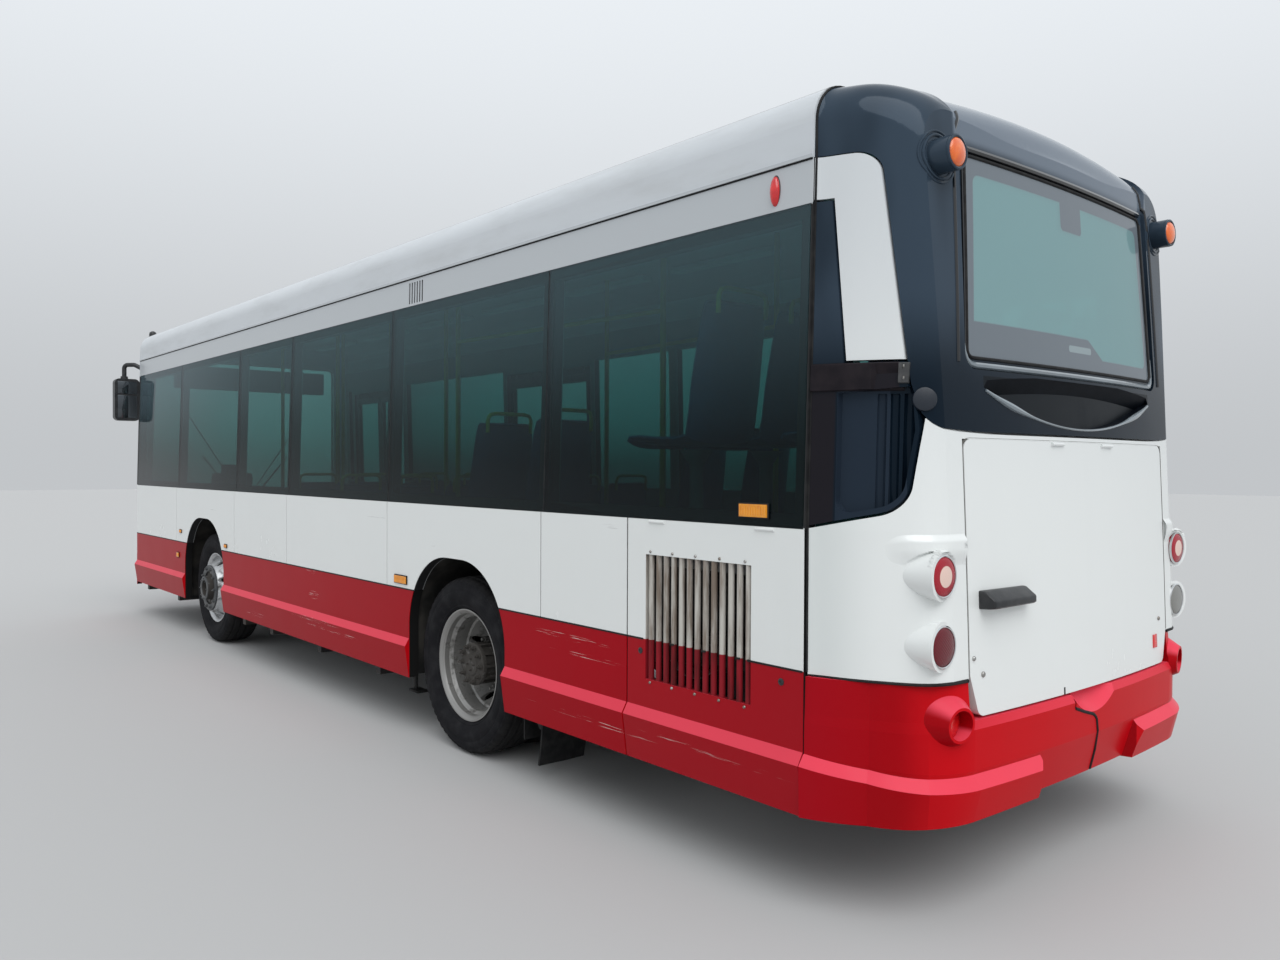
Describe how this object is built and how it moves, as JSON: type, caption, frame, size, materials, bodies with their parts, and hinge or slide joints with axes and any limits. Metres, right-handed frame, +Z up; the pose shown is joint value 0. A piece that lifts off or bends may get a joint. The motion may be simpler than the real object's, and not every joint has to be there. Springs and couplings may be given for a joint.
{
  "type": "city bus",
  "caption": "City bus, low-floor front and middle, twin rear wheels, steered front wheels, swing-in door leaves on the right, top-hinged tail lid and side engine flap.",
  "frame": {"origin": "on the road, under the middle of the bus's overall length with its mirrors", "axes": "+X forward, +Y to the left-hand side of the bus, +Z up"},
  "size_m": [9.662, 2.656, 2.9518],
  "materials": {
    "white_paint": "gloss",
    "red_paint": "gloss",
    "black_gloss": "gloss",
    "side_glass": "dark green tint",
    "clear_glass": "clear",
    "tyre": "matte",
    "rim_grey": "weathered satin",
    "chassis_black": "satin",
    "floor_vinyl": "matte",
    "liner_black": "matte",
    "engine_iron": "matte",
    "dash_plastic": "matte",
    "seat_blue": "satin",
    "pole_yellow": "gloss",
    "lens_red": "gloss",
    "lens_amber": "gloss"
  },
  "bodies": {
    "bus_body": {"frame_rails": "chassis_black", "cross_members": "chassis_black", "engine_cradles": "chassis_black", "mud_flaps": "liner_black", "roof_hatches": "white_paint", "floor": "floor_vinyl", "side_wall_left": "white_paint", "side_wall_right": "white_paint", "skirts": "red_paint", "roof": "white_paint", "side_glass": "side_glass", "rear_mask": "black_gloss", "rear_side_panels": "white_paint", "rear_vents": "black_gloss", "rear_window": "clear_glass", "rear_bumper": "red_paint", "rear_lamps": "lens_red", "front_panel": "white_paint", "windscreen": "clear_glass", "front_bumper": "red_paint", "headlamps": "clear_glass", "amber_lamps": "lens_amber", "mirrors": "liner_black", "wheel_houses": "liner_black", "front_axle": "chassis_black", "rear_axle": "chassis_black", "engine": "engine_iron", "dashboard": "dash_plastic", "driver_seat": "dash_plastic", "seats": "seat_blue", "hand_poles": "pole_yellow", "ceiling_rails": "pole_yellow"},
    "tail_lid": {"rear_hatch": "white_paint", "hatch_bar": "black_gloss"},
    "engine_flap": {"engine_flap": "white_paint"},
    "knuckle_left": {"knuckle_left": "chassis_black"},
    "knuckle_right": {"knuckle_right": "chassis_black"},
    "front_wheel_left": {"front_wheel_left": "rim_grey", "front_tyre_left": "tyre"},
    "front_wheel_right": {"front_wheel_right": "rim_grey", "front_tyre_right": "tyre"},
    "rear_wheels_left": {"rear_wheel_left": "rim_grey", "rear_tyres_left": "tyre"},
    "rear_wheels_right": {"rear_wheel_right": "rim_grey", "rear_tyres_right": "tyre"},
    "front_door_rear_arm": {"door_front_rear_arm": "chassis_black"},
    "front_door_rear_leaf": {"door_front_rear_leaf": "black_gloss"},
    "front_door_front_arm": {"door_front_front_arm": "chassis_black"},
    "front_door_front_leaf": {"door_front_front_leaf": "black_gloss"},
    "middle_door_rear_arm": {"door_middle_rear_arm": "chassis_black"},
    "middle_door_rear_leaf": {"door_middle_rear_leaf": "black_gloss"},
    "middle_door_front_arm": {"door_middle_front_arm": "chassis_black"},
    "middle_door_front_leaf": {"door_middle_front_leaf": "black_gloss"}
  },
  "joints": [
    {"name": "tail_lid", "type": "hinge", "parent": "bus_body", "child": "tail_lid", "pos_m": [-4.7555, 0, 1.622], "axis": [0, 1, 0], "range_deg": [0, 85]},
    {"name": "engine_flap", "type": "hinge", "parent": "bus_body", "child": "engine_flap", "pos_m": [-3.8825, 1.17, 1.311], "axis": [1, 0, 0], "range_deg": [0, 80]},
    {"name": "steer_left", "type": "hinge", "parent": "bus_body", "child": "knuckle_left", "pos_m": [2.3025, 0.785, 0.47], "axis": [0, 0, 1], "range_deg": [-36, 36]},
    {"name": "front_wheel_left", "type": "hinge", "parent": "knuckle_left", "child": "front_wheel_left", "pos_m": [2.3025, 0.955, 0.47], "axis": [0, 1, 0], "continuous": true},
    {"name": "rear_wheels_left", "type": "hinge", "parent": "bus_body", "child": "rear_wheels_left", "pos_m": [-1.9675, 0.825, 0.47], "axis": [0, 1, 0], "continuous": true},
    {"name": "steer_right", "type": "hinge", "parent": "bus_body", "child": "knuckle_right", "pos_m": [2.3025, -0.785, 0.47], "axis": [0, 0, 1], "range_deg": [-36, 36]},
    {"name": "front_wheel_right", "type": "hinge", "parent": "knuckle_right", "child": "front_wheel_right", "pos_m": [2.3025, -0.955, 0.47], "axis": [0, 1, 0], "continuous": true},
    {"name": "rear_wheels_right", "type": "hinge", "parent": "bus_body", "child": "rear_wheels_right", "pos_m": [-1.9675, -0.825, 0.47], "axis": [0, 1, 0], "continuous": true},
    {"name": "front_door_rear_arm", "type": "hinge", "parent": "bus_body", "child": "front_door_rear_arm", "pos_m": [3.1515, -1.112, 2.308], "axis": [0, 0, 1], "range_deg": [0, 90]},
    {"name": "front_door_rear_leaf", "type": "hinge", "parent": "front_door_rear_arm", "child": "front_door_rear_leaf", "pos_m": [3.3965, -1.112, 2.284], "axis": [0, 0, 1], "range_deg": [-180, 0]},
    {"name": "front_door_front_arm", "type": "hinge", "parent": "bus_body", "child": "front_door_front_arm", "pos_m": [4.1635, -1.112, 2.308], "axis": [0, 0, -1], "range_deg": [0, 90]},
    {"name": "front_door_front_leaf", "type": "hinge", "parent": "front_door_front_arm", "child": "front_door_front_leaf", "pos_m": [3.9185, -1.112, 2.284], "axis": [0, 0, -1], "range_deg": [-180, 0]},
    {"name": "middle_door_rear_arm", "type": "hinge", "parent": "bus_body", "child": "middle_door_rear_arm", "pos_m": [-0.0885, -1.112, 2.308], "axis": [0, 0, 1], "range_deg": [0, 90]},
    {"name": "middle_door_rear_leaf", "type": "hinge", "parent": "middle_door_rear_arm", "child": "middle_door_rear_leaf", "pos_m": [0.1565, -1.112, 2.284], "axis": [0, 0, 1], "range_deg": [-180, 0]},
    {"name": "middle_door_front_arm", "type": "hinge", "parent": "bus_body", "child": "middle_door_front_arm", "pos_m": [0.9235, -1.112, 2.308], "axis": [0, 0, -1], "range_deg": [0, 90]},
    {"name": "middle_door_front_leaf", "type": "hinge", "parent": "middle_door_front_arm", "child": "middle_door_front_leaf", "pos_m": [0.6785, -1.112, 2.284], "axis": [0, 0, -1], "range_deg": [-180, 0]}
  ],
  "couplings": [
    {"joint": "steer_right", "follows": "steer_left", "ratio": 1},
    {"joint": "front_door_rear_leaf", "follows": "front_door_rear_arm", "ratio": -2},
    {"joint": "front_door_front_arm", "follows": "front_door_rear_arm", "ratio": 1},
    {"joint": "front_door_front_leaf", "follows": "front_door_rear_arm", "ratio": -2},
    {"joint": "middle_door_rear_leaf", "follows": "middle_door_rear_arm", "ratio": -2},
    {"joint": "middle_door_front_arm", "follows": "middle_door_rear_arm", "ratio": 1},
    {"joint": "middle_door_front_leaf", "follows": "middle_door_rear_arm", "ratio": -2}
  ]
}
